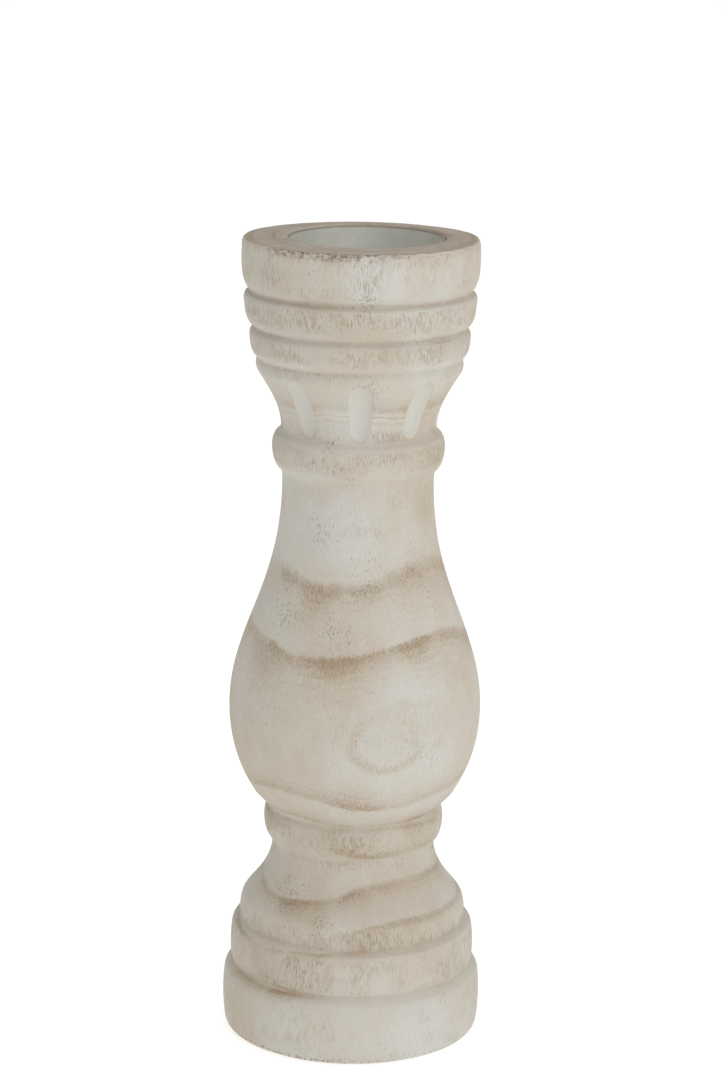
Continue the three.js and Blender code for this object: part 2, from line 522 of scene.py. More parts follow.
def grain_wires(nodes, place):
    """The wood's fibre and its torn patches, from a place in millimetres, alike in shape and in colour."""
    fibre = nodes.noise(place * (1.0, 1.0, 0.12), 1.6, detail=2.0, roughness=0.55, seed=3.1)
    patch = nodes.noise(place * (1.0, 1.0, 1.6), 0.045, detail=3.0, roughness=0.55, seed=8.4)
    share = nodes.ramp(place.parts()[2] / TOP, TORN_SHARE)
    return fibre, (patch + share * 0.3).step(0.58, 0.86)


def off_axis_tree_part(nodes, geometry, start):
    """Moves the recess and the hole under it off the turning axis, with the top face drawn after them."""
    x, y, z = nodes.place().parts()
    radius = diagonal(x, y)
    high = z.call("GREATER_THAN", RECESS_WALLS)
    share = radius.step(RECESS_RADIUS + 0.5, 52.0, 1.0, 0.0) * high
    # inside marks the recess's wall and floor, which the wood material darkens, partly for its bare unfinished
    # wood and partly as painted shade
    inside = radius.step(RECESS_RADIUS - 0.2, RECESS_RADIUS + 0.1, 1.0, 0.0) * high
    marked = store(nodes, geometry, "inside", inside)
    return nodes.moved(marked, Offset=start.also("Recess centre") * share)


def flute_tree_part(nodes, geometry, start):
    """Pushes the surface out to a round-nosed gouge's cuts, and marks what they cut as carved."""
    x, y, z = nodes.place().parts()
    angle = y.call("ARCTAN2", x)
    share = FULL_TURN / start.also("Flutes")
    lead = start.also("Flute turn") - FULL_TURN / 4
    aside = (angle - lead + share / 2).call("FLOORED_MODULO", share) - share / 2
    radius = diagonal(x, y)
    out, across = radius * aside.call("COSINE"), radius * aside.call("SINE")

    bend_r, _, bend_z = start.also("Flute bend centre").parts()
    bend = (z - bend_z).call("ARCTAN2", bend_r - out)
    bend = bend.call("MINIMUM", start.also("Flute top angle")).call("MAXIMUM", start.also("Flute foot angle"))
    reach = start.also("Flute bend radius")
    core_r, core_z = bend_r - reach * bend.call("COSINE"), bend_z + reach * bend.call("SINE")
    gap_r, gap_z = out - core_r, z - core_z
    gap = diagonal(gap_r, across, gap_z)
    gouge, soft = start.also("Gouge radius"), start.also("Flute edge")
    excess = gap - gouge
    grow = (gap + gouge + diagonal(excess, soft)) / 2 / gap
    new_out, new_across, new_z = core_r + gap_r * grow, across * grow, core_z + gap_z * grow
    new_radius = diagonal(new_out, new_across)
    new_angle = angle - aside + new_across.call("ARCTAN2", new_out)
    place = nodes.vector(new_radius * new_angle.call("COSINE"), new_radius * new_angle.call("SINE"), new_z)
    near_cut = excess.step(6.0, 8.0, 1.0, 0.0).call("GREATER_THAN", 0.5)
    marked = store(nodes, geometry, "carved", excess.step(-0.3, 0.3, 1.0, 0.0))
    return nodes.moved(marked, Selection=near_cut, Position=place * MM)


def relief_tree_part(nodes, geometry, start):
    """The surface that the lathe and the grain leave: a slow wobble, torn grain, and a chipped rim."""
    place, normal = nodes.place(), nodes("GeometryNodeInputNormal")
    x, y, z = place.parts()
    radius = diagonal(x, y)
    upright = normal.parts()[2].call("ABSOLUTE").step(0.45, 0.85, 1.0, 0.0)
    plain = 1 - nodes.mark("carved")
    outside = radius.step(RECESS_RADIUS + 0.3, RECESS_RADIUS + 1.1)
    torn = grain_wires(nodes, place)[1]

    below_rim = z.step(TOP - 4.0, TOP - 1.0, 1.0, 0.0)
    wobble = (nodes.noise(place, 0.02, detail=1.0, seed=1.7) - 0.5) * start.also("Wobble") * below_rim * 2
    dents = nodes.noise(place * (1.0, 1.0, 0.5), 0.3, detail=1.0, seed=3.7).step(0.4, 0.7)
    sunk = dents * (torn * 0.8 + 0.2) * upright * plain * start.also("Grain depth")

    edge_radius, edge_height = 57.0, TOP - 0.9
    from_rim = diagonal(radius - edge_radius, z - edge_height)
    ragged = nodes.noise(place * (1.0, 1.0, 0.35), 0.75, detail=3.0, roughness=0.7, seed=5.2)
    front = x.step(-52.0, -38.0) * x.step(0.0, 36.0, 1.0, 0.25) * y.step(-20.0, 0.0, 1.0, 0.0)
    worn = nodes.noise(place * (1.0, 1.0, 0.0), 0.05, detail=1.0, seed=2.2).step(0.42, 0.65) * 0.55
    worn = worn.call("MAXIMUM", front)
    chip = ragged.step(0.46, 0.62) * from_rim.step(0.5, 3.4, 1.0, 0.0) * (worn * 0.9 + 0.1)
    chipped = chip * start.also("Chip depth")
    rubbed = y.step(8.0, 56.0) * radius.step(44.0, edge_radius) * z.step(TOP - 3.0, TOP - 1.0)

    inward = nodes.vector(x / radius, y / radius, z * 0.0) * -1 - nodes.vector(0.0, 0.0, 0.35)
    down = nodes.vector(0.0, 0.0, -1.0) * (rubbed * start.also("Back wear"))
    slide = normal * ((wobble - sunk) * outside) + inward * (chipped * outside) + down
    return store(nodes, nodes.moved(geometry, Offset=slide), "chipped", chip)


def body_tree():
    """The wooden body: turned, fluted, worn by tool and hand, and bored off its axis."""
    nodes, start = new_geometry_tree(
        "Turned body",
        {
            "Steps": "Int",
            "Flutes": "Int",
            "Flute turn": "Float",
            "Flute bend centre": "Vector",
            "Flute bend radius": "Float",
            "Flute foot angle": "Float",
            "Flute top angle": "Float",
            "Gouge radius": "Float",
            "Flute edge": "Float",
            "Wobble": "Float",
            "Grain depth": "Float",
            "Chip depth": "Float",
            "Back wear": "Float",
            "Recess centre": "Vector",
            "Material": "Material",
        },
    )
    turned = lathe(nodes, start, start.also("Steps"))
    fluted = flute_tree_part(nodes, turned, start)
    rough = relief_tree_part(nodes, fluted, start)
    bored = off_axis_tree_part(nodes, rough, start)
    finish_geometry_tree(nodes, bored, start.also("Material"))
    return nodes


def cup_tree():
    """The spun cup: turned, shifted to its place, with the faint ripple that spinning leaves."""
    nodes, start = new_geometry_tree(
        "Spun cup", {"Steps": "Int", "Centre": "Vector", "Ripple": "Float", "Material": "Material"}
    )
    turned = lathe(nodes, start, start.also("Steps"))
    place = nodes.place()
    x, y, z = place.parts()
    radius = diagonal(x, y)
    dent = (nodes.noise(place, 0.06, detail=1.0, seed=4.0) - 0.5) * start.also("Ripple")
    lean = nodes.vector(x / radius, y / radius, 0.0) * (dent * radius.step(20.0, 34.0))
    moved = nodes.moved(turned, Offset=lean + start.also("Centre"))
    finish_geometry_tree(nodes, moved, start.also("Material"))
    return nodes


def screw_tree():
    """The screw: turned, with a rolled thread on the slim part of its shank and a cross sunk in its head."""
    nodes, start = new_geometry_tree(
        "Countersunk screw",
        {
            "Steps": "Int",
            "Centre": "Vector",
            "Pitch": "Float",
            "Thread depth": "Float",
            "Cross width": "Float",
            "Cross depth": "Float",
            "Material": "Material",
        },
    )
    turned = lathe(nodes, start, start.also("Steps"))
    x, y, z = nodes.place().parts()
    radius = diagonal(x, y)
    down = SCREW_HIGH.z / MM - z

    turn = y.call("ARCTAN2", x) / FULL_TURN
    phase = (down / start.also("Pitch") + turn).call("FRACT")
    crest = (phase - 0.5).call("ABSOLUTE").step(0.0, 0.34, 1.0, 0.0)
    threaded = down.step(5.6, 6.4) * down.step(21.5, 23.8, 1.0, 0.0) * radius.step(0.3, 0.9)
    out = nodes.vector(x / radius, y / radius, 0.0) * (crest * threaded * start.also("Thread depth"))

    arm = x.call("ABSOLUTE").call("MINIMUM", y.call("ABSOLUTE"))
    reach = x.call("ABSOLUTE").call("MAXIMUM", y.call("ABSOLUTE"))
    half = start.also("Cross width") / 2
    in_cross = (arm - half).step(-0.16, 0.16, 1.0, 0.0) * reach.step(1.1, 2.4, 1.0, 0.0)
    sunk = nodes.vector(0.0, 0.0, -1.0) * (in_cross * down.step(0.05, 0.2, 1.0, 0.0))
    moved = nodes.moved(turned, Offset=out + sunk * start.also("Cross depth") + start.also("Centre"))
    finish_geometry_tree(nodes, moved, start.also("Material"))
    return nodes


def pad_tree():
    """Felt discs on a circle: each a rounded disc with a fuzzy edge, standing on the floor's plane."""
    nodes, start = new_geometry_tree(
        "Felt pads",
        {
            "Pads": "Int",
            "Circle radius": "Float",
            "Steps": "Int",
            "Fuzz": "Float",
            "Material": "Material",
        },
    )
    disc = lathe(nodes, start, start.also("Steps"))
    circle = {"Vertices": start.also("Pads"), "Radius": start.also("Circle radius")}
    ring = nodes("GeometryNodeMeshCircle", {}, circle)
    eighth = nodes.vector(0.0, 0.0, FULL_TURN / 2 / start.also("Pads"))
    turned = nodes("GeometryNodeTransform", {}, {"Geometry": ring, "Rotation": eighth})
    placed = nodes("GeometryNodeInstanceOnPoints", {}, {"Points": turned, "Instance": disc})
    real = nodes("GeometryNodeRealizeInstances", {}, {"Geometry": placed})
    fuzz = (nodes.noise(nodes.place(), 1.1, detail=2.0, seed=6.0) - 0.75) * start.also("Fuzz")
    x, y, z = (nodes("GeometryNodeInputPosition") + nodes("GeometryNodeInputNormal") * fuzz).parts()
    moved = nodes.moved(real, Position=nodes.vector(x, y, z.call("MAXIMUM", 0.0)))
    finish_geometry_tree(nodes, moved, start.also("Material"))
    return nodes


# ---- Materials ------------------------------------------------------------------------------

GROWTH_RINGS = (14.0, 29.5, 42.8, 53.9, 62.8)  # radius of each ring's dark line, in millimetres
THIN_RINGS = (40.3, 41.6)  # and of the thin lines before the third one
SWELLING = (28.0, -34.0, 113.0)  # where the third ring bulges out
PITH_SHIFT = (-3.2, -2.7)  # where the log's middle lies in the foot
RING_SHARE = (  # height as a share of the whole, and how strongly the wash lets the rings through there
    (0.0, 0.0),
    (0.03, 0.1),
    (0.07, 0.9),
    (0.1, 0.8),
    (0.3, 0.8),
    (0.34, 0.8),
    (0.38, 0.4),
    (0.45, 0.4),
    (0.49, 1.0),
    (0.7, 1.0),
    (0.72, 0.45),
    (0.765, 0.45),
    (0.78, 0.65),
    (0.835, 0.65),
    (0.85, 0.35),
    (0.985, 0.3),
    (0.997, 0.9),
    (1.0, 0.9),
)
STAINS = (  # where a ring shows darkest: x, y, height and radius
    (-18.0, -40.0, 238.0, 22.0),
    (5.0, -45.0, 236.0, 16.0),
    (-34.0, -29.0, 240.0, 14.0),
    (28.0, -34.0, 243.0, 17.0),
    (-36.0, -40.0, 211.0, 15.0),
    (-8.0, -54.0, 205.0, 24.0),
    (27.0, -46.0, 212.0, 20.0),
    (30.0, -32.0, 114.0, 13.0),
    (-28.0, -40.0, 76.0, 18.0),
    (2.0, -47.0, 78.0, 16.0),
    (-38.0, -42.0, 57.0, 14.0),
    (-34.0, -52.0, 33.0, 16.0),
    (25.0, -38.0, 322.0, 12.0),
    (-44.0, 2.0, 400.0, 20.0),
    (46.0, 10.0, 400.0, 18.0),
)
CHALKY = (  # where the wash lies thick and cool: x, y, height and radius
    (6.0, -57.0, 388.0, 26.0),
    (0.0, -40.0, 322.0, 26.0),
    (-4.0, -37.0, 262.0, 26.0),
    (34.0, -50.0, 14.0, 34.0),
)
HAZES = (  # where the wash is rubbed thin over a wide patch: x, y, height and radius
    (-12.0, -57.0, 194.0, 30.0),
    (34.0, -44.0, 203.0, 18.0),
    (-44.0, -37.0, 194.0, 20.0),
    (-24.0, -44.0, 226.0, 16.0),
    (-24.0, -48.0, 66.0, 20.0),
    (2.0, -46.0, 106.0, 18.0),
    (15.0, -51.0, 352.0, 18.0),
    (37.0, -37.0, 356.0, 14.0),
    (-22.0, -50.0, 372.0, 14.0),
    (30.0, -27.0, 322.0, 14.0),
    (0.0, -56.0, 136.0, 22.0),
    (33.0, -18.0, 272.0, 18.0),
)
KNOT = (15.5, -60.0, 165.0)  # the middle of the oval that a knot leaves on the belly
OPEN_PLACES = (  # where the tool tore the vessels open: x, y, height and radius
    (-17.0, -35.0, 263.0, 15.0),
    (-33.0, -35.0, 222.0, 18.0),
    (-12.0, -49.0, 217.0, 12.0),
    (-14.0, -38.0, 306.0, 10.0),
    (-34.0, -35.0, 78.0, 20.0),
    (-16.0, -50.0, 69.0, 13.0),
    (6.0, -49.0, 333.0, 15.0),
    (4.0, -57.0, 378.0, 12.0),
)


def near(place, places, core):
    """From 1 inside the core of any of these places, a share of its radius, to 0 at its edge."""
    share = 0.0
    for *centre, reach in places:
        gap = (place - tuple(centre)).call("LENGTH")
        share = gap.step(reach * core, reach, 1.0, 0.0).call("MAXIMUM", share)
    return share


def growth_rings(nodes, place):
    """From 0 to 1: the rings' dark lines, the open zone outside each, the thin lines, and the fine ones."""
    x, y, z = place.parts()
    swell = (place - SWELLING).call("LENGTH").step(4.0, 24.0, 0.8, 0.0)
    bend = nodes.noise(place * (1.0, 1.0, 0.8), 0.022, detail=2.0, seed=12.0) - 0.5
    ripple = nodes.noise(place, 0.12, detail=3.0, roughness=0.6, seed=21.0) - 0.5
    low = z.step(60.0, 130.0, 1.0, 0.0)
    x, y = x - low * PITH_SHIFT[0], y - low * PITH_SHIFT[1]
    around = x.call("ARCTAN2", -y) + z.step(165.0, 225.0, 0.70, 0.16)
    lobes = (around * 3).call("COSINE") * z.step(165.0, 250.0, 1.8, 0.8)
    taper = z.step(120.0, 225.0, 0.0, 0.9)
    frayed = nodes.noise(place * (1.0, 1.0, 0.4), 1.1, detail=2.0, roughness=0.7, seed=25.0) - 0.5
    depth = diagonal(x, y) - lobes + bend * 3.5 + ripple * 1.6 + frayed * 1.6 + taper - swell
    line, zone, thin = 0.0, 0.0, 0.0
    for ring in GROWTH_RINGS:
        past = depth - ring
        edge = past.step(-0.8, 0.8)
        line = edge * ((past - 0.8).call("MAXIMUM", 0.0) / -2.0).call("EXPONENT") + line
        zone = edge * (past.call("MAXIMUM", 0.0) / -6.5).call("EXPONENT") + zone
    for ring in THIN_RINGS:
        thin = (depth - ring).call("ABSOLUTE").step(0.1, 0.5, 1.0, 0.0) + thin
    fine = ((depth * (FULL_TURN / 1.25)).call("SINE") * 0.5 + 0.5).step(0.35, 1.0)
    return line.call("MINIMUM", 1.0), zone.call("MINIMUM", 1.0), thin, fine


def ring_marks(nodes, place, plain, upright):
    """The rings as the wash lets them through: lines, zones, thin and fine lines, and their strength."""
    x, _, z = place.parts()
    line, zone, thin, fine = growth_rings(nodes, place)
    strong = nodes.noise(place, 0.045, detail=3.0, roughness=0.6, seed=31.0).step(0.36, 0.6) * 0.4 + 0.3
    strong = strong.call("MAXIMUM", near(place, STAINS, 0.3) * 0.9)
    foot_right = z.step(34.0, 60.0, 1.0, 0.0) * x.step(-30.0, 0.0)
    seen = (1 - upright * 0.5) * plain * nodes.ramp(z / TOP, RING_SHARE) * (1 - foot_right * 0.85)
    haze = near(place, HAZES, 0.1) * (strong * 0.5 + 0.5)
    line, zone = line * seen * strong, zone * seen * (strong * 0.6 + 0.4) + haze * plain * 0.42
    in_cove = z.step(305.0, 312.0) * z.step(328.0, 334.0, 1.0, 0.0) * 0.85 + 0.15
    thin = thin * (1 - upright) * plain * strong * in_cove
    return line, zone, thin, fine, strong


def knot_mark(place, strong):
    """The broken oval that a knot leaves on the belly, plainest at its lower left."""
    x, _, z = place.parts()
    oval = ((place - KNOT) * (1.0, 1.0, 1.25)).call("LENGTH") + (strong - 0.5) * 5
    lower_left = (x * 0.5 + z).step(160.0, 186.0, 1.0, 0.25)
    return (oval - 17.0).call("ABSOLUTE").step(0.5, 4.5, 1.0, 0.0) * lower_left


def open_vessels(nodes, place, top_face):
    """Tubes along the grain, so dots where a slope cuts them and dashes where a wall does."""
    clusters = nodes.noise(place * (1.0, 1.0, 0.6), 0.05, detail=2.0, roughness=0.6, seed=44.0)
    opened = clusters.step(0.50, 0.68) * 0.6 + top_face * 0.7
    opened = opened.call("MAXIMUM", near(place, OPEN_PLACES, 0.1))
    tubes = nodes.noise(place * (1.0, 1.0, 0.4), 1.35, detail=1.0, seed=40.0)
    return (tubes + opened * 0.16).step(0.74, 0.80)


def wash_colour(nodes, place, carved, look):
    """The wash's colour, even in the flutes, and how thin and warm it is, from 0 to 1."""
    chalk = near(place, CHALKY, 0.3)
    cloud = nodes.noise(place * (1.0, 1.0, 0.5), 0.02, detail=4.0, roughness=0.55, seed=61.0).step(0.35, 0.68)
    tint = nodes.noise(place * (1.0, 1.0, 0.7), 0.07, detail=3.0, roughness=0.6, seed=66.0).step(0.36, 0.64)
    cloud, tint = cloud * (1 - chalk), tint.call("MAXIMUM", chalk)
    wash = nodes.mix(tint, look.wash, look.cool_wash)
    wash = nodes.mix(cloud * (0.5 + tint * 0.5), wash, look.thin_wash)
    return nodes.mix(carved, wash, look.flute_wash), cloud


def wood_material(look):
    """Pale turned wood: its rings, vessels and torn grain under a rubbed whitewash."""
    nodes, finish = new_material("whitewashed_wood")
    place = nodes.place()
    x, _, z = place.parts()
    slope = nodes("ShaderNodeTexCoord", output="Normal").parts()[2]
    hollow, carved = nodes.mark("hollow").step(0.2, 0.6), nodes.mark("carved")
    chipped, inside = nodes.mark("chipped"), nodes.mark("inside")
    plain = 1 - carved
    upright = slope.call("ABSOLUTE").step(0.1, 0.55, 1.0, 0.0)
    top_face = slope.step(0.7, 0.95) * z.step(TOP - 3.0, TOP - 1.2)

    line, zone, thin, fine, strong = ring_marks(nodes, place, plain, upright)
    pores = open_vessels(nodes, place, top_face) * plain * (1 - upright * 0.3)
    fibre, torn = grain_wires(nodes, place)
    streaks = fibre.step(0.45, 0.66) * (torn * 0.9 + 0.1) * upright * plain
    stipple = nodes.noise(place * (1.0, 1.0, 0.3), 2.2, detail=2.0, roughness=0.6, seed=47.0).step(0.46, 0.64)
    scratch = nodes.noise(place * (1.0, 1.0, 0.1), 2.1, detail=2.0, roughness=0.6, seed=51.0)
    smear = nodes.noise(place, 0.1, detail=4.0, roughness=0.65, seed=71.0).step(0.36, 0.64)

    bare = nodes.mix(zone * 0.6 + fine * 0.2, look.bare_wood, look.summer_wood)
    bare = nodes.mix(line * 0.85, bare, look.ring_line)
    bare = nodes.mix((thin + hollow * 0.4).call("MINIMUM", 1.0) * 0.8, bare, look.thin_line)
    bare = nodes.mix(top_face * (1 - line * 0.5 - zone * 0.5), bare, look.end_grain)
    wash, cloud = wash_colour(nodes, place, carved, look)

    # where the wash is rubbed off
    bald = line * (0.34 + stipple * 0.36) + zone * (0.4 + stipple * 0.45) + thin * 0.8 + fine * zone * 0.08
    bald = bald + knot_mark(place, strong) * (0.26 + stipple * 0.4)
    bald = bald + streaks * 0.5 + chipped * 0.45 + hollow * 0.14 + cloud * plain * 0.05
    bald = bald + torn * upright * plain * (0.03 + stipple * 0.12) + stipple * plain * 0.03
    bald = bald + scratch.step(0.5, 0.75) * upright * plain * 0.16
    bald = bald + top_face * (0.5 + smear * 0.3 + fine * 0.12 + stipple * 0.12)
    bald = bald + carved * plain * strong * 2.2
    cover = (1 - bald.call("MINIMUM", 0.92)) * look.cover
    cover = cover.call("MAXIMUM", carved.step(0.6, 1.0) * 0.97)
    colour = nodes.mix(cover, bare, wash)

    # dirt in the pores, the torn grain, the chips and the foot's edge, and in the recess its bare wood together
    # with painted shade
    dents = nodes.noise(place, 0.9, detail=2.0, seed=82.0).step(0.51, 0.58)
    feet = z.step(2.0, 5.0, 1.0, 0.0) * dents * z.step(0.9, 1.2) * x.step(-10.0, 20.0, 1.0, 0.4)
    # inside * 0.85 is painted shade down the recess's wall and floor, partly its bare unfinished wood
    dark = pores * 0.6 + streaks * stipple * 0.4 + chipped * stipple * 0.9 + feet * 0.9 + inside * 0.85
    dark = dark + top_face * (stipple * 0.12 + smear * fine * 0.12)
    colour = nodes.mix(dark.call("MINIMUM", 0.85), colour, look.pore_and_shade)

    height = (scratch - 0.5) * 0.7 * upright * plain - pores * 0.8 - streaks * 0.7 - stipple * plain * 0.2
    rough = 0.8 + streaks * 0.1 - carved * 0.08
    return finish(Base_Color=colour, Roughness=rough, Normal=nodes.bump(height, 0.0003))


def cup_material(look):
    """Dusty zinc with soft spangles and the fine lines of spinning, and a lip darkened as painted shade, which
    dims its reflection.
    """
    nodes, finish = new_material("zinc_steel")
    place = nodes.place()
    cloud = nodes.noise(place, 0.07, detail=3.0, roughness=0.6, seed=2.0)
    spangle = nodes("ShaderNodeTexVoronoi", {"feature": "SMOOTH_F1"}, {"Vector": place, "Scale": 0.35})
    x, y, z = place.parts()
    spun = nodes.noise(nodes.vector(x * 0.02, y * 0.02, z), 2.2, detail=2.0, seed=5.0)
    dust = cloud.step(0.35, 0.7)
    # painted shade: the top of the lip is mixed towards dark brown, to dim its reflection and stand for the
    # dark gap round the cup
    lip = z.step(CUP_HIGH.z / MM - 1.2, CUP_HIGH.z / MM - 0.5)
    colour = nodes.mix(dust * 0.6 + spangle * 0.15, look.zinc, look.dull_zinc)
    colour = nodes.mix(lip * 0.7, colour, look.pore_and_shade)
    rough = 0.42 + dust * 0.2 + spangle * 0.08
    bump = nodes.bump(spun + cloud * 0.5, 0.0001, 0.35)
    return finish(Base_Color=colour, Roughness=rough, Metallic=0.6 - dust * 0.25, Normal=bump)


def screw_material(look):
    """Zinc plate, dulled in patches."""
    nodes, finish = new_material("plated_screw")
    place = nodes.place()
    cloud = nodes.noise(place, 0.8, detail=3.0, roughness=0.6, seed=3.0)
    colour = nodes.mix(cloud.step(0.4, 0.7), look.screw, look.dull_zinc)
    bump, rough = nodes.bump(cloud, 0.00005, 0.3), 0.28 + cloud * 0.25
    return finish(Base_Color=colour, Roughness=rough, Metallic=0.95, Normal=bump)


def felt_material(look):
    """Blotched felt with short hairs."""
    nodes, finish = new_material("felt")
    place = nodes.place()
    hair = nodes.noise(place * (1.0, 1.0, 2.0), 2.4, detail=4.0, roughness=0.7, seed=9.0)
    blotch = nodes.noise(place, 0.3, detail=2.0, seed=10.0)
    colour = nodes.mix(hair * 0.7 + blotch * 0.3, look.felt, look.felt_shade)
    return finish(Base_Color=colour, Roughness=0.95, Normal=nodes.bump(hair, 0.0003, 0.9))


def floor_material(look):
    """A plain pale sheet that gives off a light of its own."""
    nodes, finish = new_material("pale_floor")
    cloud = nodes.noise(nodes.place(), 0.003, detail=2.0, seed=1.0)
    rough, glow = 0.8 + cloud * 0.1, (*look.floor_glow, 1.0)
    return finish(Base_Color=look.floor, Roughness=rough, Emission_Color=glow, Emission_Strength=1.0)


# ---- Settings -------------------------------------------------------------------------------


def length(label, text, default):
    return bpy.props.FloatProperty(name=label, description=text, default=default, unit="LENGTH", precision=5)


def angle(label, text, degrees):
    return bpy.props.FloatProperty(
        name=label, description=text, default=math.radians(degrees), subtype="ANGLE"
    )


def colour(label, text, code):
    return bpy.props.FloatVectorProperty(
        name=label, description=text, default=paint(code), subtype="COLOR", size=3, min=0.0, max=1.0
    )


class CandlestickShape(bpy.types.PropertyGroup):
    """Sizes of the turned body and of what is fitted to it."""

    body_steps: bpy.props.IntProperty(name="Steps", description="Facets round the body", default=308, min=24)
    outline_spacing: length("Outline spacing", "Distance between the outline's points", 1.15 * MM)
    flutes: bpy.props.IntProperty(name="Flutes", description="Gouge cuts round the cove", default=9, min=1)
    flute_turn: angle("Flute turn", "From the front to the first flute", 0.8)
    flute_bend_reach: length("Flute bend reach", "From the axis to the gouge's swing's middle", 80.25 * MM)
    flute_bend_height: length("Flute bend height", "Height of the middle of the gouge's swing", 305.6 * MM)
    flute_bend_radius: length("Flute bend radius", "Radius of the gouge's swing", 37.65 * MM)
    flute_foot_angle: angle("Flute foot angle", "Where the swing starts, above the level", 10.2)
    flute_top_angle: angle("Flute top angle", "Where the swing ends, above the level", 38.5)
    gouge_radius: length("Gouge radius", "Radius of the gouge that cuts the flutes", 7.2 * MM)
    recess_aside: length("Recess aside", "How far the recess lies to the right of the axis", 2.8 * MM)
    recess_back: length("Recess back", "How far the recess lies behind the axis", 3.7 * MM)
    wobble: length("Wobble", "How far the hand-held tool strays from round", 0.22 * MM)
    grain_depth: length("Grain depth", "Depth of the torn grain", 0.16 * MM)
    chip_depth: length("Chip depth", "Depth of the chips along the rim", 1.9 * MM)
    back_wear: length("Back wear", "How far the rim is rubbed down at the back", 0.9 * MM)
    cup_ripple: length("Cup ripple", "Unevenness of the spun cup", 0.25 * MM)
    thread_pitch: length("Thread pitch", "Distance between the screw's threads", 1.6 * MM)
    thread_depth: length("Thread depth", "Height of the screw's thread", 0.5 * MM)
    pad_fuzz: length("Pad fuzz", "How uneven the felt is", 0.25 * MM)


class CandlestickLook(bpy.types.PropertyGroup):
    """Colours of the wood, the metal, the felt and the floor."""

    wash: colour("Whitewash", "Where the wash lies thick", "c6c3ba")
    cool_wash: colour("Cool wash", "Where the wash is chalky", "c6c6c1")
    thin_wash: colour("Thin wash", "Where the wash lies thin", "beb3a4")
    flute_wash: colour("Flute wash", "The wash in the smooth flutes", "c4c2ba")
    bare_wood: colour("Bare wood", "Spring wood under the wash", "b3a28b")
    summer_wood: colour("Summer wood", "Darker wood just outside a growth line", "a08765")
    ring_line: colour("Ring line", "The dark line of a growth ring", "83694b")
    end_grain: colour("End grain", "The greyer end grain of the top face", "a1978b")
    thin_line: colour("Thin line", "The thin lines before a growth ring", "a07c56")
    # also the colour of the painted shade in the recess and on the cup's lip
    pore_and_shade: colour("Pore", "Inside open pores and torn grain", "7f6f5d")
    zinc: colour("Zinc", "Clean zinc of the cup", "cdcdc6")
    dull_zinc: colour("Dull zinc", "Dusty or dull zinc", "b8b6ac")
    screw: colour("Screw", "The plated screw", "c2bdb0")
    felt: colour("Felt", "The felt pads", "a29a8c")
    felt_shade: colour("Felt shade", "Between the felt's hairs", "6f695f")
    floor: colour("Floor", "The plain pale floor", "d0d0ce")
    floor_glow: colour("Floor glow", "The light that the floor sheet gives off", "cececd")
    cover: bpy.props.FloatProperty(
        name="Cover", description="How much of the wood the wash hides", default=0.96, min=0.0, max=1.0
    )


class CandlestickStage(bpy.types.PropertyGroup):
    """Camera and light."""

    lens: bpy.props.FloatProperty(name="Lens", description="Focal length", default=110.0, unit="CAMERA")
    camera_back: length("Camera distance", "From the candlestick's axis, along the floor", 1.570)
    camera_height: length("Camera height", "Above the floor", 0.6403)
    camera_aside: length("Camera aside", "To the right of the axis", 0.00164)
    camera_pitch: angle("Pitch", "Downward tilt", 13.95)
    camera_roll: angle("Roll", "Tilt about the view's middle", 0.84)
    key_power: bpy.props.FloatProperty(name="Key light", description="Soft box on the right", default=11.5)
    front_power: bpy.props.FloatProperty(name="Front light", description="Soft box in front", default=5.0)
    top_power: bpy.props.FloatProperty(name="Top light", description="Soft box overhead", default=7.0)
    sky: bpy.props.FloatProperty(name="Sky", description="Strength of the even light", default=0.6)


# ---- Operators ------------------------------------------------------------------------------


class TurnBody(bpy.types.Operator):
    """Turn the wooden body, carve its flutes and whitewash it"""

    bl_idname = "candlestick.turn_body"
    bl_label = "Turned body"

    def execute(self, context):
        shape, look = context.scene.candlestick_shape, context.scene.candlestick_look
        outline = body_outline(shape.outline_spacing / MM).filled(4)
        values = {
            "Steps": shape.body_steps,
            "Flutes": shape.flutes,
            "Flute turn": shape.flute_turn,
            "Flute bend centre": (shape.flute_bend_reach / MM, 0.0, shape.flute_bend_height / MM),
            "Flute bend radius": shape.flute_bend_radius / MM,
            "Flute foot angle": shape.flute_foot_angle,
            "Flute top angle": shape.flute_top_angle,
            "Gouge radius": shape.gouge_radius / MM,
            "Flute edge": 0.25,
            "Wobble": shape.wobble,
            "Grain depth": shape.grain_depth,
            "Chip depth": shape.chip_depth,
            "Back wear": shape.back_wear,
            "Recess centre": (shape.recess_aside, shape.recess_back, 0.0),
            "Material": wood_material(look),
        }
        body = grown("whitewashed_body", outline.mesh("body_outline"), body_tree(), values)
        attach(body, "root")
        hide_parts("turned_body")
        return {"FINISHED"}


class SpinCup(bpy.types.Operator):
    """Spin the steel cup that holds the candle"""

    bl_idname = "candlestick.spin_cup"
    bl_label = "Candle cup"

    def execute(self, context):
        shape, look = context.scene.candlestick_shape, context.scene.candlestick_look
        middle = (CUP_LOW + CUP_HIGH) / 2
        values = {
            "Steps": 192,
            "Centre": (middle.x, middle.y, 0.0),
            "Ripple": shape.cup_ripple,
            "Material": cup_material(look),
        }
        cup = grown("spun_cup", cup_outline().mesh("cup_outline"), cup_tree(), values)
        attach(cup, "root")
        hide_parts("candle_cup")
        return {"FINISHED"}


